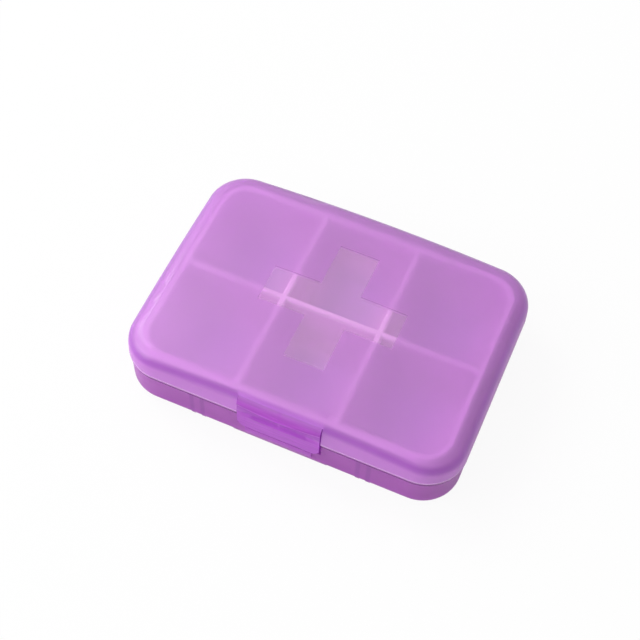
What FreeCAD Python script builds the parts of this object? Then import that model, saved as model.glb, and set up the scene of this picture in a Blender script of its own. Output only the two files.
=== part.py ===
import FreeCAD, Part
import math
import os

# A closed pocket pill box with six cups. Millimetres, +Z up, +Y to the hinge at the back, +X along the length.
# The origin is on the table, under the middle of the closed box. The latch is at the front, on the -Y side.

V = FreeCAD.Vector

# Closed box
LENGTH = 92.0
DEPTH = 66.6
HEIGHT = 22.0
CORNER_RADIUS = 11.0
SEAM_Z = 11.8
SEAM_GAP = 0.2

# Lid shell: drafted walls, a round shoulder and a gently crowned roof
LID_SKIN = 1.3
LID_END_DRAFT_DEG = 2.7
LID_SHOULDER = 4.6
LID_RIM_CHAMFER = 0.3
CROWN_RADIUS = 450.0

# Clear cross in the roof, a shallow polished step
CROSS_SPAN = 37.0
CROSS_ARM = 11.0
CROSS_STEP = 0.15

# Base shell
BASE_INSET = 0.5
BASE_DRAFT_DEG = 1.3
BASE_WALL = 1.4
BASE_FLOOR = 1.4
BASE_EDGE = 2.6
BASE_INNER_BEVEL = 1.2
BASE_RIM_CHAMFER = 0.25

# Rib pairs inside the base: upright on the wall to centre the tray, with a shelf on the floor to carry it
RIB_FROM_END = 23.1
RIB_PITCH = 2.9
RIB_THICKNESS = 1.2
RIB_TOP_Z = 10.8
SHELF_HEIGHT = 1.0
SHELF_REACH = 11.0
TRAY_CLEARANCE = 0.15

# Compartment tray with two rows of three cups
CUPS_END_MARGIN = 5.6
CUPS_SIDE_MARGIN = 5.2
MIDDLE_CUP_LENGTH = 25.2
CROSS_DIVIDER = 1.6
LONG_DIVIDER = 1.4
TRAY_WALL = 1.8
TRAY_HEADROOM = 4.6
TRAY_FLOOR = 1.6
TRAY_DRAFT_DEG = 1.2
TRAY_BEVEL = 3.5
LAND_CHAMFER = 0.35
CUP_SCOOP = 8.0
CUP_HEEL = 3.0
CUP_CORNER_OUTER = 6.5
CUP_DRAFT_DEG = 1.3

# Latch tab with its finger lip, in a slot of the lid's front wall
TAB_WIDTH = 22.4
TAB_SIDE_GAP = 0.2
TAB_ROOT_DROP = 3.2
TAB_TOE_Z = 6.4
TAB_TOE_CHAMFER = 1.9
TAB_TOE_ROUND = 0.45
TAB_PROUD = 0.2
TAB_THICKNESS = 1.4
LIP_REACH = 1.05
LIP_DROP = 5.15
LIP_ROUND = 0.5
HOLLOW_DROP = 2.9
HOLLOW_DEPTH = 0.55
HOLLOW_ROUND = 3.0
HOLLOW_SWEEP = 130.0

# Catch on the base that the tab hooks under
POCKET_GAP = 0.3
POCKET_SIDE_GAP = 0.3
POCKET_WALL = 1.2
POCKET_PAD_MARGIN = 1.5
CATCH_WIDTH = 17.0
CATCH_REACH = 0.75
CATCH_Z = 9.3
CATCH_FLAT = 0.4
CATCH_RAMP = 0.9
HOOK_GAP = 0.3
LEDGE_WIDTH = 18.2
LEDGE_PROUD = 0.5
LEDGE_HEIGHT = 1.8
LEDGE_RAMP = 1.3

# Hinge behind the lid's back wall
HINGE_FROM_END = 22.0
HINGE_BEHIND = 1.7
HINGE_BELOW_SEAM = 1.4
KNUCKLE_RADIUS = 1.9
LID_KNUCKLE = 8.0
BASE_KNUCKLE = 4.0
KNUCKLE_GAP = 0.3
LID_ARM_TOP_Z = 15.6
BASE_GUSSET_Z = 6.6
HINGE_CLEARANCE = 0.35
PIN_RADIUS = 0.75
PIN_FIT = 0.06
PIN_SEAT = 0.02
PIN_END_RECESS = 0.2

# Places that follow from the sizes above
CROWN_Z = HEIGHT - CROWN_RADIUS
LID_RIM_Z = SEAM_Z + SEAM_GAP / 2
TAB_ROOT_Z = HEIGHT - TAB_ROOT_DROP
LIP_Z = HEIGHT - LIP_DROP
BASE_RIM_Z = SEAM_Z - SEAM_GAP / 2
TRAY_SEAT_Z = BASE_FLOOR + SHELF_HEIGHT
TRAY_TOP_Z = HEIGHT - TRAY_HEADROOM
CUP_FLOOR_Z = TRAY_SEAT_Z + TRAY_FLOOR
CUPS_LENGTH = LENGTH - 2 * CUPS_END_MARGIN
CUPS_DEPTH = DEPTH - 2 * CUPS_SIDE_MARGIN
TRAY_HALF_X = CUPS_LENGTH / 2 + TRAY_WALL
TRAY_HALF_Y = CUPS_DEPTH / 2 + TRAY_WALL
FRONT_Y = -DEPTH / 2
BACK_Y = DEPTH / 2
TAB_OUTER_Y = FRONT_Y - TAB_PROUD
TAB_INNER_Y = TAB_OUTER_Y + TAB_THICKNESS
POCKET_Y = TAB_INNER_Y + POCKET_GAP
RIB_X = LENGTH / 2 - RIB_FROM_END
HINGE_X = LENGTH / 2 - HINGE_FROM_END
HINGE_Y = BACK_Y + HINGE_BEHIND
HINGE_Z = SEAM_Z - HINGE_BELOW_SEAM
PIN_LENGTH = LID_KNUCKLE + 2 * (KNUCKLE_GAP + BASE_KNUCKLE) - 2 * PIN_END_RECESS
BEYOND = 5.0


def slope(degrees):
    """Sideways run for one unit of height at a draft angle."""
    return math.tan(math.radians(degrees))


def rounded_ring(half_x, half_y, radius, z):
    """Closed outline of a level rounded rectangle about the origin."""
    bend = radius * (1 - math.sqrt(0.5))
    arcs = []
    for to_x, to_y in ((-1, -1), (1, -1), (1, 1), (-1, 1)):
        on_end = V(to_x * half_x, to_y * (half_y - radius), z)
        on_side = V(to_x * (half_x - radius), to_y * half_y, z)
        middle = V(to_x * (half_x - bend), to_y * (half_y - bend), z)
        arcs.append((on_end, middle, on_side) if to_x == to_y else (on_side, middle, on_end))
    edges = []
    for (start, middle, end), (next_start, _, _) in zip(arcs, arcs[1:] + arcs[:1]):
        edges.append(Part.Arc(start, middle, end).toShape())
        edges.append(Part.LineSegment(end, next_start).toShape())
    return Part.Wire(edges)


def drafted_block(half_x, half_y, radius, draft_deg, low_z, high_z, size_z):
    """Rounded block whose sides lean in downwards and have their full size at size_z."""
    rings = []
    for z in (high_z, low_z):
        shrink = slope(draft_deg) * (size_z - z)
        rings.append(rounded_ring(half_x - shrink, half_y - shrink, radius - shrink, z))
    return Part.makeLoft(rings, True, True)


def box(low, high):
    """Box between two corners."""
    return Part.makeBox(high[0] - low[0], high[1] - low[1], high[2] - low[2], V(*low))


def rectangle_at(low_x, high_x, low_y, high_y, z):
    """Corners of a level rectangle, from low_x low_y round by the right."""
    return [V(low_x, low_y, z), V(high_x, low_y, z), V(high_x, high_y, z), V(low_x, high_y, z)]


def frustum(low, high):
    """Solid with flat faces between two rings of corners, both counterclockwise from above."""
    rings = [low[::-1], high]
    for start, end in zip(range(len(low)), [*range(1, len(low)), 0]):
        rings.append([low[start], low[end], high[end], high[start]])
    return Part.Solid(Part.Shell([Part.Face(Part.makePolygon(ring + ring[:1])) for ring in rings]))


def side_profile(edges_yz, middle_x, width):
    """Solid of a closed outline in the YZ plane, as wide as width about middle_x."""
    start_x = middle_x - width / 2
    edges = []
    for points in edges_yz:
        corners = [V(start_x, y, z) for y, z in points]
        maker = Part.Arc if len(corners) == 3 else Part.LineSegment
        edges.append(maker(*corners).toShape())
    return Part.Face(Part.Wire(edges)).extrude(V(width, 0, 0))


def polygon_profile(points_yz, middle_x, width):
    """Solid of a straight-sided outline in the YZ plane."""
    following = points_yz[1:] + points_yz[:1]
    return side_profile([list(pair) for pair in zip(points_yz, following)], middle_x, width)


def edges_at_height(shape, z):
    """Edges of a shape that lie flat at a height."""
    return [e for e in shape.Edges if abs(e.BoundBox.ZMin - z) < 1e-4 and abs(e.BoundBox.ZMax - z) < 1e-4]


def edge_between(shape, start, end):
    """Straight edge of a shape from one corner to another."""
    middle = (start + end) * 0.5
    return min(shape.Edges, key=lambda edge: edge.CenterOfMass.distanceToPoint(middle))


def cylinder_x(radius, middle_x, length, y, z):
    """Round bar along X."""
    return Part.makeCylinder(radius, length, V(middle_x - length / 2, y, z), V(1, 0, 0))


def crown_ball(lowered):
    """Ball whose top is the roof's crown, lowered by an amount. Its poles lie along Y, clear of the roof."""
    ball = Part.makeSphere(CROWN_RADIUS - lowered)
    ball.rotate(V(0, 0, 0), V(1, 0, 0), 90)
    ball.translate(V(0, 0, CROWN_Z))
    return ball


def lid_walls():
    """Outward normals of the lid's right and back walls and their distance from the crown's centre.

    Both walls stand equally far from that centre, so every edge of the roof takes a shoulder that is part of a ring.
    """
    rise = SEAM_Z - CROWN_Z
    end_draft = math.radians(LID_END_DRAFT_DEG)
    distance = LENGTH / 2 * math.cos(end_draft) + rise * math.sin(end_draft)
    side_draft = math.asin(distance / math.hypot(DEPTH / 2, rise)) - math.atan2(DEPTH / 2, rise)
    right = V(math.cos(end_draft), 0, math.sin(end_draft))
    back = V(0, math.cos(side_draft), math.sin(side_draft))
    return right, back, distance


def lid_corner(side):
    """Direction from the crown's centre up the axis of the back corner on one side."""
    right, back, _ = lid_walls()
    axis_x = side * (LENGTH / 2 - CORNER_RADIUS / right.x)
    axis_y = DEPTH / 2 - CORNER_RADIUS / back.y
    return V(axis_x, axis_y, SEAM_Z - CROWN_Z).normalize()


def across(normal, direction):
    """Unit vector square to a normal, in its plane with a direction."""
    return (direction - normal * direction.dot(normal)).normalize()


def shoulder_centre(normal, upward):
    """Centre of the shoulder's circle in the plane of a wall's normal and the way up that wall."""
    _, _, distance = lid_walls()
    out = distance - LID_SHOULDER
    up = math.sqrt((CROWN_RADIUS - LID_SHOULDER) ** 2 - out ** 2)
    return V(0, 0, CROWN_Z) + normal * out + upward * up


def shoulder_waste(normal, upward, radius, depth, bevelled):
    """Face outside the shoulder, from its wall to its roof and as far as depth down the wall.

    The shoulder is round, or has two bevels in place of its round.
    """
    middle = shoulder_centre(normal, upward)
    roofward = (middle - V(0, 0, CROWN_Z)).normalize()
    on_wall = middle + normal * radius
    on_roof = middle + roofward * radius
    on_round = middle + (normal + roofward).normalize() * radius
    over_roof = on_roof + roofward * BEYOND
    outer_top = over_roof + normal * (radius + BEYOND)
    foot = on_wall - upward * depth
    outer_foot = foot + normal * BEYOND
    path = [on_roof, over_roof, outer_top, outer_foot, foot]
    if depth > 0:
        path.append(on_wall)
    edges = [Part.LineSegment(start, end).toShape() for start, end in zip(path, path[1:])]
    if bevelled:
        edges.append(Part.LineSegment(on_wall, on_round).toShape())
        edges.append(Part.LineSegment(on_round, on_roof).toShape())
    else:
        edges.append(Part.Arc(on_wall, on_round, on_roof).toShape())
    return Part.Face(Part.Wire(edges))


def swept_between(face, axis, start, end):
    """Face turned about an axis through the crown's centre, from one direction to another."""
    turn = math.degrees(math.atan2(axis.dot(start.cross(end)), start.dot(end)))
    if turn < 0:
        axis = axis * -1
    return face.revolve(V(0, 0, CROWN_Z), axis, abs(turn))


def shoulder_wastes(radius, depth, bevelled):
    """Solids that take the sharp edges off the lid's roof and corners, once round the lid."""
    right, back, _ = lid_walls()
    corner = lid_corner(1)
    left_corner = lid_corner(-1)
    front_corner = V(corner.x, -corner.y, corner.z)
    at_right = shoulder_waste(right, across(right, front_corner), radius, 0, bevelled)
    at_back = shoulder_waste(back, across(back, corner), radius, 0, bevelled)
    at_corner = shoulder_waste(right, across(right, corner), radius, depth, bevelled)
    wastes = [
        swept_between(at_right, right, across(right, front_corner), across(right, corner)),
        swept_between(at_back, back, across(back, corner), across(back, left_corner)),
        swept_between(at_corner, corner, across(corner, right), across(corner, back)),
    ]
    wastes.append(wastes[-1].mirror(V(0, 0, 0), V(1, 0, 0)))
    turned = [waste.copy() for waste in wastes]
    for waste in turned:
        waste.rotate(V(0, 0, 0), V(0, 0, 1), 180)
    return wastes + turned


def lid_form(inset, bottom_z):
    """Closed form of the lid, inset by an amount at its walls, shoulder and roof.

    The outside has a round shoulder. Inside, two bevels stand for it.
    """
    right, back, distance = lid_walls()
    rings = []
    for z in (bottom_z, HEIGHT + BEYOND):
        half_x = (distance - inset - (z - CROWN_Z) * right.z) / right.x
        half_y = (distance - inset - (z - CROWN_Z) * back.z) / back.y
        rings.append(rectangle_at(-half_x, half_x, -half_y, half_y, z))
    form = frustum(rings[0], rings[1]).common(crown_ball(inset))
    return form.cut(shoulder_wastes(LID_SHOULDER - inset, HEIGHT - bottom_z, inset > 0)).Solids[0]


def shoulder_point(z, inset):
    """Y of the lid's front surface at a height on its shoulder, in the middle of the length."""
    _, back, _ = lid_walls()
    front = V(0, -back.y, back.z)
    middle = shoulder_centre(front, across(front, V(0, 0, 1)))
    radius = LID_SHOULDER - inset
    return middle.y - math.sqrt(radius ** 2 - (z - middle.z) ** 2)


def lid_front(z, inset):
    """Y of the lid's front wall at a height."""
    _, back, distance = lid_walls()
    return -(distance - inset - (z - CROWN_Z) * back.z) / back.y


def cross_prism(bottom_z, top_z):
    """Upright prism of the plain cross with four equal arms."""
    long_half = CROSS_SPAN / 2
    short_half = CROSS_ARM / 2
    along_x = box((-long_half, -short_half, bottom_z), (long_half, short_half, top_z))
    along_y = box((-short_half, -long_half, bottom_z), (short_half, long_half, top_z))
    return along_x.fuse(along_y).removeSplitter()


def touch_point(middle, radius, start, turn):
    """Point in the YZ plane where a line from start touches a circle, on the side turned from its middle."""
    run = start[0] - middle[0]
    rise = start[1] - middle[1]
    angle = math.atan2(rise, run) + turn * math.acos(radius / math.hypot(run, rise))
    return middle[0] + radius * math.cos(angle), middle[1] + radius * math.sin(angle)


def lid_knuckle(middle_x):
    """Knuckle that hangs from the lid's back wall on a short arm."""
    inside_y = BACK_Y - LID_SKIN / 2
    front_y = HINGE_Y - KNUCKLE_RADIUS
    arm_top = (inside_y, LID_ARM_TOP_Z)
    back = touch_point((HINGE_Y, HINGE_Z), KNUCKLE_RADIUS, arm_top, -1)
    outline = [(inside_y, LID_RIM_Z), (front_y, LID_RIM_Z), (front_y, HINGE_Z), (HINGE_Y, HINGE_Z), back, arm_top]
    arm = polygon_profile(outline, middle_x, LID_KNUCKLE)
    return arm.fuse(cylinder_x(KNUCKLE_RADIUS, middle_x, LID_KNUCKLE, HINGE_Y, HINGE_Z))


def base_knuckle(middle_x):
    """Knuckle that stands on a gusset at the base's back wall."""
    inside_y = BACK_Y - BASE_INSET - BASE_WALL / 2
    top_z = LID_RIM_Z - HINGE_CLEARANCE
    top_y = HINGE_Y - math.sqrt(KNUCKLE_RADIUS ** 2 - (top_z - HINGE_Z) ** 2)
    under = (HINGE_Y, HINGE_Z - KNUCKLE_RADIUS)
    outline = [(inside_y, BASE_GUSSET_Z), under, (HINGE_Y, HINGE_Z), (top_y, top_z), (inside_y, top_z)]
    gusset = polygon_profile(outline, middle_x, BASE_KNUCKLE)
    return gusset.fuse(cylinder_x(KNUCKLE_RADIUS, middle_x, BASE_KNUCKLE, HINGE_Y, HINGE_Z))


def make_lid():
    """Lid shell with its clear cross, the slot for the latch tab and a knuckle at each hinge."""
    outside = lid_form(0.0, LID_RIM_Z)
    outside = outside.makeChamfer(LID_RIM_CHAMFER, edges_at_height(outside, LID_RIM_Z))
    inside = lid_form(LID_SKIN, LID_RIM_Z - BEYOND)
    lid = outside
    for side in (-1, 1):
        lid = lid.fuse(lid_knuckle(side * HINGE_X))
    lid = lid.cut(inside)
    lid = lid.cut(cross_prism(HEIGHT - BEYOND, HEIGHT + BEYOND).cut(crown_ball(CROSS_STEP)))
    slot_half = TAB_WIDTH / 2 + TAB_SIDE_GAP
    slot_back_y = shoulder_point(TAB_ROOT_Z, LID_SKIN) + BEYOND
    slot_low = (-slot_half, FRONT_Y - BEYOND, LID_RIM_Z - BEYOND)
    lid = lid.cut(box(slot_low, (slot_half, slot_back_y, TAB_ROOT_Z)))
    for side in (-1, 1):
        bore_length = LID_KNUCKLE + 2 * KNUCKLE_GAP
        lid = lid.cut(cylinder_x(PIN_RADIUS + PIN_FIT, side * HINGE_X, bore_length, HINGE_Y, HINGE_Z))
    return lid


def tab_front():
    """Outline of the tab's outer side, from its root over the finger lip to the toe."""
    root = (shoulder_point(TAB_ROOT_Z, 0.0), TAB_ROOT_Z)
    nose_y = FRONT_Y - LIP_REACH + LIP_ROUND
    nose_top = touch_point((nose_y, LIP_Z), LIP_ROUND, root, 1)
    nose_front = (nose_y - LIP_ROUND, LIP_Z)
    nose_bottom = (nose_y, LIP_Z - LIP_ROUND)
    under_lip = (TAB_OUTER_Y, LIP_Z - LIP_ROUND)
    bend = TAB_TOE_ROUND * (1 - math.sqrt(0.5))
    toe_front = (TAB_OUTER_Y, TAB_TOE_Z + TAB_TOE_ROUND)
    toe_corner = (TAB_OUTER_Y + bend, TAB_TOE_Z + bend)
    toe_bottom = (TAB_OUTER_Y + TAB_TOE_ROUND, TAB_TOE_Z)
    return [
        [root, nose_top],
        [nose_top, nose_front, nose_bottom],
        [nose_bottom, under_lip],
        [under_lip, toe_front],
        [toe_front, toe_corner, toe_bottom],
    ]


def tab_back(toe, root):
    """Outline of the tab's inner side, from the toe by its lead-in, hook and groove up to the root."""
    lead_in = TAB_THICKNESS / 3
    groove_y = POCKET_Y - CATCH_REACH - HOOK_GAP
    hook_top_z = CATCH_Z - HOOK_GAP
    groove_top_z = CATCH_Z + CATCH_FLAT + HOOK_GAP
    wall_z = TAB_ROOT_Z - LID_SHOULDER / 2
    corners = [
        toe,
        (TAB_INNER_Y - lead_in, TAB_TOE_Z),
        (TAB_INNER_Y, TAB_TOE_Z + 2 * lead_in),
        (TAB_INNER_Y, hook_top_z),
        (groove_y, hook_top_z),
        (groove_y, groove_top_z),
        (TAB_INNER_Y, groove_top_z + CATCH_RAMP),
        (lid_front(wall_z, LID_SKIN), wall_z),
        (shoulder_point(TAB_ROOT_Z, LID_SKIN), TAB_ROOT_Z),
        root,
    ]
    return [list(pair) for pair in zip(corners, corners[1:])]


def make_latch_tab():
    """Springy tab that hangs in the lid's slot, with a hollow for the fingertip and a toe with cut corners."""
    front = tab_front()
    tab = side_profile(front + tab_back(front[-1][-1], front[0][0]), 0.0, TAB_WIDTH)
    hollow_y = TAB_OUTER_Y + HOLLOW_DEPTH - HOLLOW_ROUND
    hollow_z = LIP_Z - LIP_ROUND - HOLLOW_DROP
    tab = tab.cut(Part.makeTorus(HOLLOW_SWEEP, HOLLOW_ROUND, V(0, hollow_y - HOLLOW_SWEEP, hollow_z)))
    outside_y = FRONT_Y - BEYOND
    below_z = TAB_TOE_Z - BEYOND
    for side in (-1, 1):
        edge_x = side * TAB_WIDTH / 2
        corners = [V(edge_x, outside_y, below_z), V(edge_x, outside_y, TAB_TOE_Z + TAB_TOE_CHAMFER),
                   V(edge_x - side * (TAB_TOE_CHAMFER + BEYOND), outside_y, below_z)]
        tab = tab.cut(Part.Face(Part.makePolygon(corners + corners[:1])).extrude(V(0, 2 * BEYOND, 0)))
    return tab


def base_shell():
    """Open tub of the base: drafted walls, round bottom edge and bevelled rim."""
    half_x = LENGTH / 2 - BASE_INSET
    half_y = DEPTH / 2 - BASE_INSET
    radius = CORNER_RADIUS - BASE_INSET
    outside = drafted_block(half_x, half_y, radius, BASE_DRAFT_DEG, 0.0, BASE_RIM_Z, SEAM_Z)
    outside = outside.makeFillet(BASE_EDGE, edges_at_height(outside, 0.0))
    outside = outside.makeChamfer(BASE_RIM_CHAMFER, edges_at_height(outside, BASE_RIM_Z))
    inside = drafted_block(half_x - BASE_WALL, half_y - BASE_WALL, radius - BASE_WALL,
                           BASE_DRAFT_DEG, BASE_FLOOR, BASE_RIM_Z + BEYOND, SEAM_Z)
    inside = inside.makeChamfer(BASE_INNER_BEVEL, edges_at_height(inside, BASE_FLOOR))
    return outside.cut(inside)


def tray_side_at(z, half):
    """Half size of the tray's drafted outside at a height."""
    return half - slope(TRAY_DRAFT_DEG) * (TRAY_TOP_Z - z)


def tray_rib(wall_distance, tray_distance):
    """One rib that stands on the +Y wall at X = 0: upright along the wall, shelf along the floor."""
    sunk_z = BASE_FLOOR / 2
    shelf_y = tray_distance - SHELF_REACH
    stop_y = tray_distance + TRAY_CLEARANCE
    return polygon_profile([(shelf_y, sunk_z), (wall_distance, sunk_z), (wall_distance, RIB_TOP_Z),
                            (stop_y, RIB_TOP_Z), (stop_y, TRAY_SEAT_Z), (shelf_y, TRAY_SEAT_Z)],
                           0.0, RIB_THICKNESS)


def tray_ribs():
    """Pairs of ribs: two pairs on the front and the back wall and one on each end wall."""
    half_wall = BASE_INSET + BASE_WALL / 2
    places = []
    for turn, along in ((0, -RIB_X), (0, RIB_X), (180, -RIB_X), (180, RIB_X), (90, 0.0), (270, 0.0)):
        depthwise = turn % 180 == 0
        half = DEPTH / 2 if depthwise else LENGTH / 2
        tray_half = TRAY_HALF_Y if depthwise else TRAY_HALF_X
        for step in (-1, 1):
            rib = tray_rib(half - half_wall, tray_side_at(RIB_TOP_Z, tray_half))
            rib.translate(V(along + step * RIB_PITCH / 2, 0, 0))
            rib.rotate(V(0, 0, 0), V(0, 0, 1), turn)
            places.append(rib)
    return places


def latch_seat(base):
    """Give the base's front wall the pocket behind the tab, the catch ridge and the ledge under the toe."""
    wall_y = FRONT_Y + BASE_INSET
    pocket_half = TAB_WIDTH / 2 + POCKET_SIDE_GAP
    pocket_z = TAB_TOE_Z - HOOK_GAP
    pad_half = pocket_half + POCKET_PAD_MARGIN
    pad = box((-pad_half, wall_y + BASE_WALL / 2, BASE_FLOOR / 2),
              (pad_half, POCKET_Y + POCKET_WALL, BASE_RIM_Z))
    ledge = polygon_profile([(wall_y + BASE_WALL / 2, pocket_z - LEDGE_HEIGHT - LEDGE_RAMP),
                             (wall_y, pocket_z - LEDGE_HEIGHT - LEDGE_RAMP),
                             (wall_y - LEDGE_PROUD, pocket_z - LEDGE_HEIGHT),
                             (wall_y - LEDGE_PROUD, pocket_z),
                             (wall_y + BASE_WALL / 2, pocket_z)], 0.0, LEDGE_WIDTH)
    pocket = box((-pocket_half, FRONT_Y - BEYOND, pocket_z), (pocket_half, POCKET_Y, BASE_RIM_Z + BEYOND))
    tip_y = POCKET_Y - CATCH_REACH
    root_y = POCKET_Y + POCKET_WALL / 2
    ramp_z = CATCH_Z + CATCH_FLAT
    ramp_end_z = ramp_z + CATCH_RAMP
    outline = [(root_y, CATCH_Z), (tip_y, CATCH_Z), (tip_y, ramp_z), (POCKET_Y, ramp_end_z), (root_y, ramp_end_z)]
    catch = polygon_profile(outline, 0.0, CATCH_WIDTH)
    return base.fuse([pad, ledge]).cut(pocket).fuse(catch)


def make_base():
    """Base shell with tray ribs, latch seat and two knuckles at each hinge."""
    base = base_shell().fuse(tray_ribs())
    base = latch_seat(base)
    step = (LID_KNUCKLE + BASE_KNUCKLE) / 2 + KNUCKLE_GAP
    for side in (-1, 1):
        for end in (-1, 1):
            middle_x = side * HINGE_X + end * step
            base = base.fuse(base_knuckle(middle_x))
            base = base.cut(cylinder_x(PIN_RADIUS + PIN_SEAT, middle_x, BASE_KNUCKLE + KNUCKLE_GAP,
                                       HINGE_Y, HINGE_Z))
    return base.removeSplitter()


def scooped_section(low, high, low_foot, high_foot):
    """Outline in the YZ plane that gives a cup its floor and a round foot at each of its drafted sides."""
    lean = math.radians(CUP_DRAFT_DEG)
    to_middle = (math.pi / 2 - lean) / 2
    over_z = TRAY_TOP_Z + BEYOND
    sides = []
    for side, edge, radius in ((-1, low, low_foot), (1, high, high_foot)):
        floor_y = edge - side * slope(CUP_DRAFT_DEG) * (TRAY_TOP_Z - CUP_FLOOR_Z)
        centre_y = floor_y + side * radius * (math.tan(lean) - 1 / math.cos(lean))
        centre_z = CUP_FLOOR_Z + radius
        on_floor = (centre_y, CUP_FLOOR_Z)
        on_round = (centre_y + side * radius * math.sin(to_middle), centre_z - radius * math.cos(to_middle))
        on_wall = (centre_y + side * radius * math.cos(lean), centre_z - radius * math.sin(lean))
        outside = (edge + side * BEYOND, on_wall[1])
        sides.append((on_floor, on_round, on_wall, outside, (outside[0], over_z)))
    low_side, high_side = sides
    return [
        [low_side[4], low_side[3]],
        [low_side[3], low_side[2]],
        [low_side[2], low_side[1], low_side[0]],
        [low_side[0], high_side[0]],
        [high_side[0], high_side[1], high_side[2]],
        [high_side[2], high_side[3]],
        [high_side[3], high_side[4]],
        [high_side[4], low_side[4]],
    ]


def cup_hollow(low_x, high_x, at_end):
    """Inside of one front cup: drafted walls with a small heel at dividers and a wide scoop at outer walls.

    A cup at the tray's left end also has a wide round corner there.
    """
    low_y = -CUPS_DEPTH / 2
    high_y = -LONG_DIVIDER / 2
    rings = []
    for z in (CUP_FLOOR_Z - BEYOND, TRAY_TOP_Z + BEYOND):
        lean = slope(CUP_DRAFT_DEG) * (TRAY_TOP_Z - z)
        rings.append(rectangle_at(low_x + lean, high_x - lean, low_y + lean, high_y - lean, z))
    hollow = frustum(rings[0], rings[1])
    if at_end:
        hollow = hollow.makeFillet(CUP_CORNER_OUTER, [edge_between(hollow, rings[0][0], rings[1][0])])
    left_foot = CUP_SCOOP if at_end else CUP_HEEL
    along_x = side_profile(scooped_section(low_y, high_y, CUP_SCOOP, CUP_HEEL), 0.0, LENGTH)
    along_y = side_profile(scooped_section(low_x, high_x, left_foot, CUP_HEEL), 0.0, LENGTH)
    along_y.rotate(V(0, 0, 0), V(0, 0, 1), -90)
    return hollow.common(along_x).common(along_y)


def cup_hollows():
    """Insides of all six cups: the front left and front middle one and their mirror images."""
    middle_half = MIDDLE_CUP_LENGTH / 2
    left = cup_hollow(-CUPS_LENGTH / 2, -middle_half - CROSS_DIVIDER, True)
    middle = cup_hollow(-middle_half, middle_half, False)
    front = [left, middle, left.mirror(V(0, 0, 0), V(1, 0, 0))]
    return front + [cup.mirror(V(0, 0, 0), V(0, 1, 0)) for cup in front]


def make_tray():
    """Lift-out tray with six scooped cups and a bevelled land round its top."""
    block = drafted_block(TRAY_HALF_X, TRAY_HALF_Y, CUP_CORNER_OUTER + TRAY_WALL, TRAY_DRAFT_DEG,
                          TRAY_SEAT_Z, TRAY_TOP_Z, TRAY_TOP_Z)
    block = block.makeChamfer(TRAY_BEVEL, edges_at_height(block, TRAY_SEAT_Z))
    for hollow in cup_hollows():
        block = block.cut(hollow)
    return block.makeChamfer(LAND_CHAMFER, edges_at_height(block, TRAY_TOP_Z))


def make_pin(side):
    """Hinge pin, a little short of the outer knuckles' ends."""
    return cylinder_x(PIN_RADIUS, side * HINGE_X, PIN_LENGTH, HINGE_Y, HINGE_Z)


def main():
    """Build every piece and write it to parts/."""
    os.makedirs("parts", exist_ok=True)
    pieces = {
        "base_shell": make_base(),
        "compartment_tray": make_tray(),
        "lid_shell": make_lid(),
        "latch_tab": make_latch_tab(),
        "hinge_pin_left": make_pin(-1),
        "hinge_pin_right": make_pin(1),
    }
    for name, piece in pieces.items():
        solid = piece.Solids[0] if len(piece.Solids) == 1 else piece
        print(name, "valid", solid.isValid(), "solids", len(piece.Solids), "volume", round(solid.Volume, 1))
        solid.exportStep("parts/" + name + ".step")


main()
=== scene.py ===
import logging
import math
from dataclasses import dataclass
from enum import Enum

import bmesh
import bpy
from mathutils import Matrix, Vector


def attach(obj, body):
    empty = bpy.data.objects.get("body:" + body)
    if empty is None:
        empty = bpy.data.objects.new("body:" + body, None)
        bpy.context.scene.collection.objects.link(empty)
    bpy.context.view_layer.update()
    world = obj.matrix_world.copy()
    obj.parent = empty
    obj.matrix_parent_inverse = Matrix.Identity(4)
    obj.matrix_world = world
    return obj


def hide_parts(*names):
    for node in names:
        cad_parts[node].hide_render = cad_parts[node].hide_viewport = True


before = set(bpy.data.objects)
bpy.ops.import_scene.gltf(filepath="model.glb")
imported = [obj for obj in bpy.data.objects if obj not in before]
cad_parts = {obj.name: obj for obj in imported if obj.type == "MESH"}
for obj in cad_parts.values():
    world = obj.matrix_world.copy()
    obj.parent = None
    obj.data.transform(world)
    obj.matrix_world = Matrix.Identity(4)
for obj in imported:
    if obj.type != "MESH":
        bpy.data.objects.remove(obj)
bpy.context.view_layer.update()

LOG = logging.getLogger("pill_box")
MM = 0.001
WHITE = (1.0, 1.0, 1.0, 1.0)

Corner = tuple[float, float, float]
Box = tuple[Corner, Corner]
Value = float | tuple[float, ...] | bpy.types.Node | bpy.types.NodeSocket

# Lengths in millimetres that lie past every wall of the pill box, for patterns that run right through one.
PAST_X = 60.0
PAST_Y = 40.0
PAST_Z = 30.0


def linear(hex_colour: str) -> tuple[float, float, float, float]:
    """Turn an sRGB hex colour into linear light.

    Args:
        hex_colour: Six hex digits after a hash sign.

    Returns:
        Red, green, blue and an alpha of 1.
    """
    channels = [int(hex_colour[i : i + 2], 16) / 255 for i in (1, 3, 5)]
    return (*[c / 12.92 if c <= 0.04045 else ((c + 0.055) / 1.055) ** 2.4 for c in channels], 1.0)


def add_node(
    tree: bpy.types.NodeTree,
    kind: str,
    settings: dict[str, object] | None = None,
    **inputs: Value,
) -> bpy.types.Node:
    """Add a node with its settings, values and links.

    Args:
        tree: Node tree that gets the node.
        kind: Name of the node's type.
        settings: Attributes to set on the node.
        **inputs: What each input gets, by the input's identifier with _ for a space: a value, an output socket,
            or a node, of which the first output in use is linked.

    Returns:
        The new node.
    """
    node = tree.nodes.new(kind)
    for name, setting in (settings or {}).items():
        setattr(node, name, setting)
    sockets = {socket.identifier.replace(" ", "_"): socket for socket in node.inputs}
    for name, value in inputs.items():
        if isinstance(value, bpy.types.Node):
            value = next(socket for socket in value.outputs if socket.enabled)
        if isinstance(value, bpy.types.NodeSocket):
            tree.links.new(value, sockets[name])
        else:
            sockets[name].default_value = value
    return node


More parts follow.
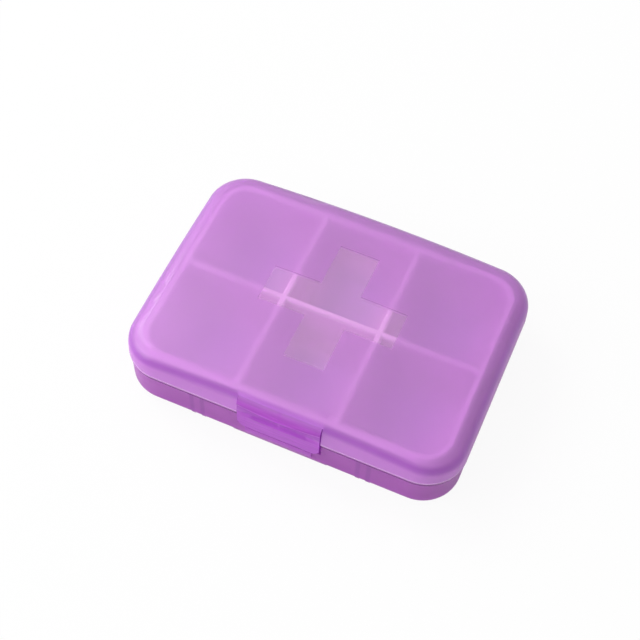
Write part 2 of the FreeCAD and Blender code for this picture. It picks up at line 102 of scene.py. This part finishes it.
def new_material(name: str) -> bpy.types.Material:
    """Make a material with an empty node tree.

    Args:
        name: Name of the material.

    Returns:
        The new material.
    """
    material = bpy.data.materials.new(name)
    material.use_nodes = True
    material.node_tree.nodes.clear()
    return material


def dress_node(node: str, material: bpy.types.Material) -> None:
    """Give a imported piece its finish.

    Args:
        node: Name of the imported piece.
        material: Finish for all of it.
    """
    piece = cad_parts[node]
    piece.data.materials.clear()
    piece.data.materials.append(material)
    LOG.info("%s: %s", node, material.name)


@dataclass(frozen=True)
class BoxMask:
    """Places that lie in one of some boxes, with a soft edge. Lengths in millimetres.

    The boxes repeat on all four sides of the pill box's middle: each has a low and a high corner of X, Y and Z,
    where X and Y count outwards from the middle.
    """

    boxes: tuple[Box, ...]
    soft: float

    def build(self, tree: bpy.types.NodeTree, coordinates: bpy.types.Node) -> bpy.types.Node:
        """Find where the boxes lie.

        Args:
            tree: Node tree that gets the nodes.
            coordinates: The material's Texture Coordinate node.

        Returns:
            Node that gives 1 inside a box and 0 outside them.
        """
        split = add_node(tree, "ShaderNodeSeparateXYZ", Vector=coordinates.outputs["Object"])
        outward = [
            add_node(tree, "ShaderNodeMath", {"operation": "ABSOLUTE"}, Value=split.outputs[axis]) for axis in (0, 1)
        ]
        found: Value = 0.0
        for low, high in self.boxes:
            inside: Value = 1.0
            for value, start, end in zip((*outward, split.outputs[2]), low, high):
                past_middle = add_node(
                    tree, "ShaderNodeMath", {"operation": "SUBTRACT"}, Value=value, Value_001=(start + end) / 2 * MM
                )
                along = add_node(
                    tree,
                    "ShaderNodeMapRange",
                    {"interpolation_type": "SMOOTHSTEP"},
                    Value=add_node(tree, "ShaderNodeMath", {"operation": "ABSOLUTE"}, Value=past_middle),
                    From_Min=(end - start + self.soft) / 2 * MM,
                    From_Max=(end - start - self.soft) / 2 * MM,
                )
                inside = add_node(tree, "ShaderNodeMath", {"operation": "MULTIPLY"}, Value=inside, Value_001=along)
            found = add_node(tree, "ShaderNodeMath", {"operation": "MAXIMUM"}, Value=found, Value_001=inside)
        return found


@dataclass(frozen=True)
class SlopeMask:
    """Rounded edge between a roof and its walls, found by the upward part of the surface's normal.

    The mask rises over the steep range, from the walls, and falls again over the flat range, to the roof.
    """

    steep: tuple[float, float] = (0.2, 0.42)
    flat: tuple[float, float] = (0.8, 0.58)

    def build(self, tree: bpy.types.NodeTree, coordinates: bpy.types.Node) -> bpy.types.Node:
        """Find where the rounded edge lies.

        Args:
            tree: Node tree that gets the nodes.
            coordinates: The material's Texture Coordinate node.

        Returns:
            Node that gives 1 on the rounded edge and 0 on roof and walls.
        """
        split = add_node(tree, "ShaderNodeSeparateXYZ", Vector=coordinates.outputs["Normal"])
        upward = add_node(tree, "ShaderNodeMath", {"operation": "ABSOLUTE"}, Value=split.outputs[2])
        rise, fall = (
            add_node(tree, "ShaderNodeMapRange", Value=upward, From_Min=start, From_Max=end)
            for start, end in (self.steep, self.flat)
        )
        return add_node(tree, "ShaderNodeMath", {"operation": "MULTIPLY"}, Value=rise, Value_001=fall)


@dataclass(frozen=True)
class Skin:
    """Part of a moulding where the resin or the mould's surface differs from the rest; some skins also hold painted
    light and shade.
    """

    mask: BoxMask | SlopeMask
    body: str  # the milky resin's colour there, which in some skins is painted light and shade
    milk_share: float  # how much of what the eye meets is milky resin, and not what lies behind the wall
    frost: float  # roughness, from 0 for a polished mould


@dataclass(frozen=True)
class FrostedPolypropylene:
    """Purple tinted polypropylene, injection moulded in a sand-blasted mould.

    The dye deepens with the way that light goes through the wall, so edges and thick places are darker. The
    blasted skin scatters what is seen through it, and the milky resin sends back a soft purple of its own.
    Where the mould was polished the wall is nearly clear.
    """

    name: str
    wall_tint: str  # white light after one wall
    body: str  # the milky resin's own colour
    streak: str  # its colour where the dye has gathered
    milk_share: float
    frost: float
    skins: tuple[Skin, ...]
    polish: float = 0.1  # share of the clear gloss that lies over the frost
    polish_blur: float = 0.14
    ior: float = 1.49
    skin_loss: float = 0.06  # light that a wall's two faces turn back
    wall_mm: float = 1.3
    flow_mm: float = 12.0  # clouds of dye, as wide as the melt's tongues in the mould
    flow_stretch: float = 1.0  # how far the clouds are drawn out along X
    flow_detail: float = 3.0
    flow_range: tuple[float, float] = (0.35, 0.65)
    grain_mm: float = 0.35  # the blasted grain is near 0.05 mm, and is drawn coarser so that it shows
    grain_detail: float = 2.0
    grain_strength: float = 0.04
    grain_height_mm: float = 0.05

    def build(self) -> bpy.types.Material:
        """Make the material.

        Returns:
            The finished material.
        """
        material = new_material(self.name)
        tree = material.node_tree
        coordinates = add_node(tree, "ShaderNodeTexCoord")
        place = coordinates.outputs["Object"]
        grain = add_node(
            tree, "ShaderNodeTexNoise", Vector=place, Scale=1 / (self.grain_mm * MM), Detail=self.grain_detail
        )
        bump = add_node(
            tree, "ShaderNodeBump", Strength=self.grain_strength, Distance=self.grain_height_mm * MM, Height=grain
        )
        drawn_out = add_node(tree, "ShaderNodeMapping", Vector=place, Scale=(1 / self.flow_stretch, 1.0, 1.0))
        flow = add_node(
            tree, "ShaderNodeTexNoise", Vector=drawn_out, Scale=1 / (self.flow_mm * MM), Detail=self.flow_detail
        )
        low, high = self.flow_range
        streaks = add_node(tree, "ShaderNodeMapRange", Value=flow, From_Min=low, From_Max=high)
        body = add_node(
            tree,
            "ShaderNodeMix",
            {"data_type": "RGBA"},
            Factor_Float=streaks,
            A_Color=linear(self.body),
            B_Color=linear(self.streak),
        )
        share: Value = self.milk_share
        frost: Value = self.frost
        for skin in self.skins:
            inside = skin.mask.build(tree, coordinates)
            body = add_node(
                tree,
                "ShaderNodeMix",
                {"data_type": "RGBA"},
                Factor_Float=inside,
                A_Color=body,
                B_Color=linear(skin.body),
            )
            share = add_node(tree, "ShaderNodeMix", Factor_Float=inside, A_Float=share, B_Float=skin.milk_share)
            frost = add_node(tree, "ShaderNodeMix", Factor_Float=inside, A_Float=frost, B_Float=skin.frost)
        wall = add_node(
            tree,
            "ShaderNodeBsdfPrincipled",
            Base_Color=WHITE,
            Roughness=frost,
            IOR=self.ior,
            Transmission_Weight=1.0,
            Normal=bump,
        )
        milk = add_node(
            tree,
            "ShaderNodeBsdfPrincipled",
            Base_Color=body,
            Roughness=frost,
            IOR=self.ior,
            Coat_Weight=self.polish,
            Coat_Roughness=self.polish_blur,
            Normal=bump,
        )
        plastic = add_node(tree, "ShaderNodeMixShader", Fac=share, Shader=wall, Shader_001=milk)
        passed = 1 - self.skin_loss
        through = add_node(tree, "ShaderNodeBsdfTransparent", Color=(passed, passed, passed, 1.0))
        in_shadow = add_node(tree, "ShaderNodeLightPath").outputs["Is Shadow Ray"]
        surface = add_node(tree, "ShaderNodeMixShader", Fac=in_shadow, Shader=plastic, Shader_001=through)
        add_node(tree, "ShaderNodeOutputMaterial", Surface=surface, Volume=self.add_dye(tree))
        return material

    def add_dye(self, tree: bpy.types.NodeTree) -> bpy.types.Node:
        """Fill the wall with dye that leaves its tint after one wall's thickness.

        Args:
            tree: Node tree that gets the node.

        Returns:
            The absorption node.
        """
        per_metre = [-math.log(channel) / (self.wall_mm * MM) for channel in linear(self.wall_tint)[:3]]
        density = max(per_metre)
        tint = [1 - channel / density for channel in per_metre]
        return add_node(tree, "ShaderNodeVolumeAbsorption", Color=(*tint, 1.0), Density=density)


@dataclass(frozen=True)
class MilkyPolypropylene:
    """Natural polypropylene, injection moulded with a fine satin skin: milky and soft, with a faint wide sheen.

    Painted light stands in for the purple light that has passed the pill box's walls: the cups' floors get a painted
    purple shade, most of all low down in the cups, and the rim is painted palest.
    """

    name: str
    colour: str
    painted_rim_light: str
    painted_rim_z: tuple[float, float]  # heights in millimetres between which the rim's painted light sets in
    # painted shade on the cups' floors: its colour, and where it lies
    floor_shade_colour: str
    shaded_floors: BoxMask
    frost: float = 0.45
    ior: float = 1.49
    cloud_mm: float = 9.0  # faint clouds where the resin cooled more slowly
    cloud_detail: float = 3.0
    cloud_shade: float = 0.95
    scatter_share: float = 0.35
    scatter_mm: float = 1.5
    scatter_colours: tuple[float, float, float] = (1.0, 0.8, 1.0)

    def build(self) -> bpy.types.Material:
        """Make the material.

        Returns:
            The finished material.
        """
        material = new_material(self.name)
        tree = material.node_tree
        coordinates = add_node(tree, "ShaderNodeTexCoord")
        place = coordinates.outputs["Object"]
        # painted shade: a darker purple in the middle of the cups' floors
        tone = add_node(
            tree,
            "ShaderNodeMix",
            {"data_type": "RGBA"},
            Factor_Float=self.shaded_floors.build(tree, coordinates),
            A_Color=linear(self.colour),
            B_Color=linear(self.floor_shade_colour),
        )
        # painted light: paler towards the top of the rim and the dividers
        height = add_node(tree, "ShaderNodeSeparateXYZ", Vector=place).outputs[2]
        low, high = self.painted_rim_z
        rise = add_node(
            tree,
            "ShaderNodeMapRange",
            {"interpolation_type": "SMOOTHSTEP"},
            Value=height,
            From_Min=low * MM,
            From_Max=high * MM,
        )
        tone = add_node(
            tree,
            "ShaderNodeMix",
            {"data_type": "RGBA"},
            Factor_Float=rise,
            A_Color=tone,
            B_Color=linear(self.painted_rim_light),
        )
        cloud = add_node(
            tree, "ShaderNodeTexNoise", Vector=place, Scale=1 / (self.cloud_mm * MM), Detail=self.cloud_detail
        )
        shade = add_node(
            tree,
            "ShaderNodeMix",
            {"data_type": "RGBA"},
            Factor_Float=cloud,
            A_Color=WHITE,
            B_Color=(self.cloud_shade, self.cloud_shade, self.cloud_shade, 1.0),
        )
        clouded = add_node(
            tree,
            "ShaderNodeMix",
            {"data_type": "RGBA", "blend_type": "MULTIPLY"},
            Factor_Float=1.0,
            A_Color=tone,
            B_Color=shade,
        )
        plastic = add_node(
            tree,
            "ShaderNodeBsdfPrincipled",
            Base_Color=clouded,
            Roughness=self.frost,
            IOR=self.ior,
            Subsurface_Weight=self.scatter_share,
            Subsurface_Radius=self.scatter_colours,
            Subsurface_Scale=self.scatter_mm * MM,
        )
        add_node(tree, "ShaderNodeOutputMaterial", Surface=plastic)
        return material


@dataclass(frozen=True)
class DrawnSteel:
    """Drawn steel wire, cut to length: bright, with faint draw lines along it."""

    name: str = "drawn_steel_wire"
    colour: str = "#B9B9BC"
    line_mm: float = 0.12  # real draw lines are finer, and are drawn coarser so that they show
    line_detail: float = 1.0
    line_stretch: float = 20.0
    smoothest: float = 0.22
    roughness_range: float = 0.15

    def build(self) -> bpy.types.Material:
        """Make the material.

        Returns:
            The finished material.
        """
        material = new_material(self.name)
        tree = material.node_tree
        place = add_node(tree, "ShaderNodeTexCoord").outputs["Object"]
        drawn_out = add_node(tree, "ShaderNodeMapping", Vector=place, Scale=(1 / self.line_stretch, 1.0, 1.0))
        lines = add_node(
            tree, "ShaderNodeTexNoise", Vector=drawn_out, Scale=1 / (self.line_mm * MM), Detail=self.line_detail
        )
        roughness = add_node(
            tree,
            "ShaderNodeMath",
            {"operation": "MULTIPLY_ADD"},
            Value=lines,
            Value_001=self.roughness_range,
            Value_002=self.smoothest,
        )
        steel = add_node(
            tree, "ShaderNodeBsdfPrincipled", Base_Color=linear(self.colour), Metallic=1.0, Roughness=roughness
        )
        add_node(tree, "ShaderNodeOutputMaterial", Surface=steel)
        return material


@dataclass
class LidShell:
    """Crowned lid: frosted all over but for the polished cross. Lengths in millimetres."""

    cross_reach: float = 18.5
    cross_half_arm: float = 5.5
    cross_low_z: float = 18.0
    cross_soft: float = 0.05
    # painted shade: the walls' deeper purple lies between these heights
    wall_shade_z: tuple[float, float] = (4.0, 18.6)
    wall_shade_soft: float = 6.0
    painted_rim_z: tuple[float, float] = (11.0, 12.6)
    painted_rim_soft: float = 0.6
    knuckle_front_y: float = 34.0

    def skins(self) -> tuple[Skin, ...]:
        """Place the polished cross, the painted shade on the walls and on the shoulder, and the rim.

        Returns:
            The lid's skins, each over the ones before it.
        """
        cross = BoxMask(
            (
                ((0.0, 0.0, self.cross_low_z), (self.cross_reach, self.cross_half_arm, PAST_Z)),
                ((0.0, 0.0, self.cross_low_z), (self.cross_half_arm, self.cross_reach, PAST_Z)),
            ),
            self.cross_soft,
        )
        wall_shade = BoxMask((((0.0, 0.0, self.wall_shade_z[0]), (PAST_X, PAST_Y, self.wall_shade_z[1])),), self.wall_shade_soft)
        painted_rim = BoxMask((((0.0, 0.0, self.painted_rim_z[0]), (PAST_X, self.knuckle_front_y, self.painted_rim_z[1])),), self.painted_rim_soft)
        return (
            # polished patch of the mould: nearly clear, so the dividers show sharp below it
            Skin(cross, "#EBD0EE", 0.24, 0.06),
            # painted shade: the walls get a deeper purple than the roof, with a milkier and rougher skin
            Skin(wall_shade, "#DE94EE", 0.5, 0.45),
            # painted shade: a darker, deeper purple band on the rounded shoulder between roof and walls
            Skin(SlopeMask(), "#BA6AD4", 0.5, 0.36),
            # thin rim over the seam, which catches the light as a pale line
            Skin(painted_rim, "#E9BCF2", 0.7, 0.2),
        )

    def dress(self) -> None:
        """Give the lid its frosted purple polypropylene: soft and veiled, with a glossy streak on the shoulder."""
        finish = FrostedPolypropylene(
            name="frosted_purple_polypropylene",
            wall_tint="#F4D4F6",
            body="#D8A8E4",
            streak="#D4A4E0",
            milk_share=0.36,
            frost=0.36,
            skins=self.skins(),
            polish=0.35,
        )
        dress_node("lid_shell", finish.build())


@dataclass
class BaseShell:
    """Base tub, whose ribs and front ledge show through its wall. Lengths in millimetres."""

    rib_x: tuple[float, ...] = (21.45, 24.35)
    rib_width: float = 1.2
    rib_z: tuple[float, float] = (2.0, 10.8)
    rib_soft: float = 0.7
    rib_low_y: float = 30.0
    # painted shade: the dark line under the lid's rim lies between these heights
    painted_rim_z: tuple[float, float] = (10.4, 12.0)
    painted_rim_soft: float = 0.3
    knuckle_front_y: float = 34.0
    ledge_half_width: float = 9.2
    ledge_low_y: float = 32.9
    ledge_z: tuple[float, float] = (1.0, 6.3)
    ledge_soft: float = 0.3

    def skins(self) -> tuple[Skin, ...]:
        """Place the ribs, the painted shade under the lid's rim, and the ledge.

        Returns:
            The base's skins, each over the ones before it.
        """
        half = self.rib_width / 2
        ribs = BoxMask(
            tuple(
                ((x - half, self.rib_low_y, self.rib_z[0]), (x + half, PAST_Y, self.rib_z[1])) for x in self.rib_x
            ),
            self.rib_soft,
        )
        painted_rim = BoxMask((((0.0, 0.0, self.painted_rim_z[0]), (PAST_X, self.knuckle_front_y, self.painted_rim_z[1])),), self.painted_rim_soft)
        ledge = BoxMask(
            (((0.0, self.ledge_low_y, self.ledge_z[0]), (self.ledge_half_width, PAST_Y, self.ledge_z[1])),),
            self.ledge_soft,
        )
        return (
            # ribs behind the wall double its thickness, so they show as darker stripes
            Skin(ribs, "#AE4CBE", 0.6, 0.4),
            # painted shade: a dark line along the rim's edge, where it lies in shade under the lid's rim
            Skin(painted_rim, "#7A1C88", 0.94, 0.4),
            # solid ledge below the tab: bright and deep, with a smoother skin
            Skin(ledge, "#CC54E2", 0.62, 0.28),
        )

    def dress(self) -> None:
        """Give the base its tinted polypropylene: deeper than the lid's, and satin rather than frosted."""
        finish = FrostedPolypropylene(
            name="tinted_purple_polypropylene",
            wall_tint="#E2A0EA",
            body="#CA68D4",
            streak="#C05CCA",
            milk_share=0.55,
            frost=0.45,
            skins=self.skins(),
        )
        dress_node("base_shell", finish.build())


@dataclass
class PillTray:
    """Tray of six cups, with painted light on its pale rim and a painted purple shade on the cups' floors. Lengths in
    millimetres.
    """

    painted_rim_z: tuple[float, float] = (15.4, 17.2)
    floor_x: tuple[tuple[float, float], ...] = ((-8.6, 8.6), (18.2, 36.4))
    floor_y: tuple[float, float] = (4.7, 24.1)
    floor_z: tuple[float, float] = (-10.0, 8.0)
    floor_soft: float = 8.0

    def dress(self) -> None:
        """Give the tray its natural polypropylene: milky, with painted light that makes it palest along the dividers'
        tops, and a painted purple shade on the cups' floors.
        """
        # painted shade in the middle of the cups' floors
        shaded_floors = BoxMask(
            tuple(
                ((start, self.floor_y[0], self.floor_z[0]), (end, self.floor_y[1], self.floor_z[1]))
                for start, end in self.floor_x
            ),
            self.floor_soft,
        )
        finish = MilkyPolypropylene(
            name="natural_polypropylene",
            colour="#EBD0EB",
            painted_rim_light="#FFF8FF",
            painted_rim_z=self.painted_rim_z,
            floor_shade_colour="#CCB6E0",
            shaded_floors=shaded_floors,
        )
        dress_node("compartment_tray", finish.build())


@dataclass
class LatchTab:
    """Spring tab with the grip lip bowed outwards between its ends. Lengths in millimetres."""

    half_width: float = 11.2
    plate_y: float = -33.5  # outer face of the plate, which the lip stands proud of
    lip_low_z: float = 16.2
    end_reach: float = 0.25  # how far the lip still stands proud at its ends, as a share of the middle
    slices: int = 24
    weld: float = 0.001
    sliver: float = 0.02  # the slicing leaves slivers narrower than this, which are closed up
    crease_deg: float = 25.0
    hollow_steps: tuple[tuple[float, float], ...] = ((12.0, 14.2), (9.8, 13.2), (7.6, 12.2))
    hollow_top_z: float = 16.4
    hollow_soft: float = 1.3
    root_y: tuple[float, float] = (28.0, 32.7)
    root_z: tuple[float, float] = (17.0, 20.0)
    root_soft: float = 2.2

    def skins(self) -> tuple[Skin, ...]:
        """Place the hollow under the lip and the root.

        Returns:
            The tab's skins, each over the ones before it.
        """
        hollow = BoxMask(
            tuple(
                ((0.0, 0.0, low_z), (half_width, PAST_Y, self.hollow_top_z)) for half_width, low_z in self.hollow_steps
            ),
            self.hollow_soft,
        )
        root = BoxMask(
            (((0.0, self.root_y[0], self.root_z[0]), (PAST_X, self.root_y[1], self.root_z[1])),), self.root_soft
        )
        return (
            # hollow below the lip, which narrows downwards and lies in the lip's own purple shade
            Skin(hollow, "#AE30CA", 0.78, 0.28),
            # thin web at the root, as pale as the lid that it grows from
            Skin(root, "#DC96EC", 0.5, 0.3),
        )

    def shape_lip(self, shape: bmesh.types.BMesh) -> None:
        """Draw the lip in towards its ends, so that its edge is a shallow bow.

        Args:
            shape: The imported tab, its doubles merged.
        """
        for step in range(1, self.slices):
            bmesh.ops.bisect_plane(
                shape,
                geom=[*shape.verts, *shape.edges, *shape.faces],
                plane_co=((2 * step / self.slices - 1) * self.half_width * MM, 0, 0),
                plane_no=(1, 0, 0),
            )
        bmesh.ops.dissolve_degenerate(shape, dist=self.sliver * MM, edges=shape.edges)
        for vert in shape.verts:
            proud = vert.co.y - self.plate_y * MM
            if proud < 0 and vert.co.z > self.lip_low_z * MM:
                outward = vert.co.x / (self.half_width * MM)
                vert.co.y = self.plate_y * MM + proud * (1 - (1 - self.end_reach) * outward**2)

    def build(self) -> bpy.types.Object:
        """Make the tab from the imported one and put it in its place.

        Returns:
            The new piece.
        """
        shape = bmesh.new()
        shape.from_mesh(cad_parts["latch_tab"].data)
        bmesh.ops.remove_doubles(shape, verts=shape.verts, dist=self.weld * MM)
        self.shape_lip(shape)
        for face in shape.faces:
            face.smooth = True
        for edge in shape.edges:
            edge.smooth = edge.calc_face_angle(0.0) < math.radians(self.crease_deg)
        mesh = bpy.data.meshes.new("bowed_latch_tab")
        shape.to_mesh(mesh)
        shape.free()
        piece = bpy.data.objects.new("bowed_latch_tab", mesh)
        bpy.context.scene.collection.objects.link(piece)
        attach(piece, "latch")
        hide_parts("latch_tab")
        return piece

    def dress(self, piece: bpy.types.Object) -> None:
        """Give the tab its polished polypropylene: the box's strongest purple, with fine flow lines along it.

        Args:
            piece: The tab.
        """
        finish = FrostedPolypropylene(
            name="polished_purple_polypropylene",
            wall_tint="#DD90EA",
            body="#D862EE",
            streak="#BE46D6",
            milk_share=0.62,
            frost=0.28,
            skins=self.skins(),
            flow_mm=0.5,
            flow_stretch=16.0,
        )
        material = finish.build()
        piece.data.materials.append(material)
        LOG.info("%s: %s", piece.name, material.name)


class Side(Enum):
    """Which of the two hinges a pin belongs to."""

    LEFT = "left"
    RIGHT = "right"


@dataclass
class HingePin:
    """Steel pin of one hinge."""

    side: Side

    def dress(self, steel: bpy.types.Material) -> None:
        """Give the pin its drawn steel.

        Args:
            steel: Finish for both pins.
        """
        dress_node(f"hinge_pin_{self.side.value}", steel)


@dataclass(frozen=True)
class SoftLamp:
    """Square lamp that faces the object. Lengths in metres."""

    name: str
    place: tuple[float, float, float]
    side: float
    watts: float

    def build(self) -> None:
        """Hang the lamp."""
        data = bpy.data.lights.new(self.name, "AREA")
        data.shape = "SQUARE"
        data.size = self.side
        data.energy = self.watts
        lamp = bpy.data.objects.new(self.name, data)
        place = Vector(self.place)
        lamp.matrix_world = Matrix.Translation(place) @ place.to_track_quat("Z", "Y").to_matrix().to_4x4()
        bpy.context.scene.collection.objects.link(lamp)


@dataclass(frozen=True)
class SweepPaper:
    """Matt white sweep paper: white to the camera and through the plastic, and grey where a shadow falls."""

    name: str = "white_sweep_paper"
    grey: float = 0.88
    white_share: float = 0.92
    mirrored_share: float = 0.4

    def build(self) -> bpy.types.Material:
        """Make the material.

        Returns:
            The finished material.
        """
        material = new_material(self.name)
        tree = material.node_tree
        rays = add_node(tree, "ShaderNodeLightPath").outputs
        seen = add_node(
            tree,
            "ShaderNodeMath",
            {"operation": "MAXIMUM"},
            Value=rays["Is Camera Ray"],
            Value_001=rays["Is Transmission Ray"],
        )
        mirrored = add_node(
            tree,
            "ShaderNodeMath",
            {"operation": "MULTIPLY"},
            Value=rays["Is Glossy Ray"],
            Value_001=self.mirrored_share,
        )
        seen = add_node(tree, "ShaderNodeMath", {"operation": "MAXIMUM"}, Value=seen, Value_001=mirrored)
        share = add_node(
            tree, "ShaderNodeMath", {"operation": "MULTIPLY"}, Value=seen, Value_001=self.white_share
        )
        paper = add_node(tree, "ShaderNodeBsdfDiffuse", Color=(self.grey, self.grey, self.grey, 1.0))
        white = add_node(tree, "ShaderNodeEmission", Color=WHITE, Strength=1.0)
        surface = add_node(tree, "ShaderNodeMixShader", Fac=share, Shader=paper, Shader_001=white)
        add_node(tree, "ShaderNodeOutputMaterial", Surface=surface)
        return material


@dataclass
class Studio:
    """Pale floor, soft light and the camera. Lengths in metres, angles in degrees."""

    floor_side: float = 6.0
    air_level: float = 0.57
    air_level_per_x: float = -0.18
    air_level_per_z: float = 0.12
    air_least: float = 0.05
    lamps: tuple[SoftLamp, ...] = (
        SoftLamp("key_lamp", (-1.0, 0.35, 0.95), 0.6, 7.5),
        SoftLamp("fill_lamp", (-1.0, -0.65, 0.6), 1.0, 8.5),
    )
    azimuth: float = 19.241
    elevation: float = 57.111
    roll: float = 4.703
    distance: float = 0.348667
    aim_height: float = 0.01
    focal_px: float = 1329.233  # focal length, in pixels of the picture
    offset_px: tuple[float, float] = (10.538, 11.036)  # the lens axis's place from the picture's middle
    picture_px: int = 640
    sensor_mm: float = 36.0

    def build_floor(self) -> None:
        """Lay the floor."""
        mesh = bpy.data.meshes.new("studio_floor")
        shape = bmesh.new()
        bmesh.ops.create_grid(shape, x_segments=1, y_segments=1, size=self.floor_side / 2)
        shape.to_mesh(mesh)
        shape.free()
        mesh.materials.append(SweepPaper().build())
        floor = bpy.data.objects.new("studio_floor", mesh)
        bpy.context.scene.collection.objects.link(floor)

    def build_air(self) -> None:
        """Surround the object with soft light, a little stronger from the left and above, and white behind it."""
        world = bpy.data.worlds.new("studio_air")
        bpy.context.scene.world = world
        world.use_nodes = True
        tree = world.node_tree
        tree.nodes.clear()
        way = add_node(tree, "ShaderNodeTexCoord").outputs["Generated"]
        side, _, height = add_node(tree, "ShaderNodeSeparateXYZ", Vector=way).outputs
        level = add_node(
            tree,
            "ShaderNodeMath",
            {"operation": "MULTIPLY_ADD"},
            Value=side,
            Value_001=self.air_level_per_x,
            Value_002=self.air_level,
        )
        level = add_node(
            tree,
            "ShaderNodeMath",
            {"operation": "MULTIPLY_ADD"},
            Value=height,
            Value_001=self.air_level_per_z,
            Value_002=level,
        )
        level = add_node(tree, "ShaderNodeMath", {"operation": "MAXIMUM"}, Value=level, Value_001=self.air_least)
        air = add_node(tree, "ShaderNodeBackground", Color=WHITE, Strength=level)
        white = add_node(tree, "ShaderNodeBackground", Color=WHITE, Strength=1.0)
        seen = add_node(tree, "ShaderNodeLightPath").outputs["Is Camera Ray"]
        surface = add_node(tree, "ShaderNodeMixShader", Fac=seen, Shader=air, Shader_001=white)
        add_node(tree, "ShaderNodeOutputWorld", Surface=surface)

    def build_camera(self) -> None:
        """Set the camera as the photograph's camera stood."""
        azimuth, elevation, roll = (math.radians(angle) for angle in (self.azimuth, self.elevation, self.roll))
        back = Vector(
            (
                math.sin(azimuth) * math.cos(elevation),
                -math.cos(azimuth) * math.cos(elevation),
                math.sin(elevation),
            )
        )
        level = Vector((0, 0, 1)).cross(back).normalized()
        upright = back.cross(level)
        right = math.cos(roll) * level + math.sin(roll) * upright
        up = -math.sin(roll) * level + math.cos(roll) * upright
        data = bpy.data.cameras.new("studio_camera")
        data.sensor_width = self.sensor_mm
        data.lens = self.focal_px * self.sensor_mm / self.picture_px
        data.shift_x = -self.offset_px[0] / self.picture_px
        data.shift_y = self.offset_px[1] / self.picture_px
        camera = bpy.data.objects.new("studio_camera", data)
        turn = Matrix((right, up, back)).transposed().to_4x4()
        camera.matrix_world = Matrix.Translation(Vector((0, 0, self.aim_height)) + back * self.distance) @ turn
        bpy.context.scene.collection.objects.link(camera)
        bpy.context.scene.camera = camera

    def build(self) -> None:
        """Set up the floor, the light, the camera and the view."""
        self.build_floor()
        self.build_air()
        for lamp in self.lamps:
            lamp.build()
        self.build_camera()
        bpy.context.scene.view_settings.view_transform = "Standard"


def main() -> None:
    """Build the studio, then finish each sub-assembly in order."""
    logging.basicConfig(level=logging.INFO, format="%(name)s %(message)s")
    Studio().build()
    LidShell().dress()
    BaseShell().dress()
    latch = LatchTab()
    latch.dress(latch.build())
    PillTray().dress()
    steel = DrawnSteel().build()
    for side in Side:
        HingePin(side).dress(steel)


if __name__ == "__main__":
    main()
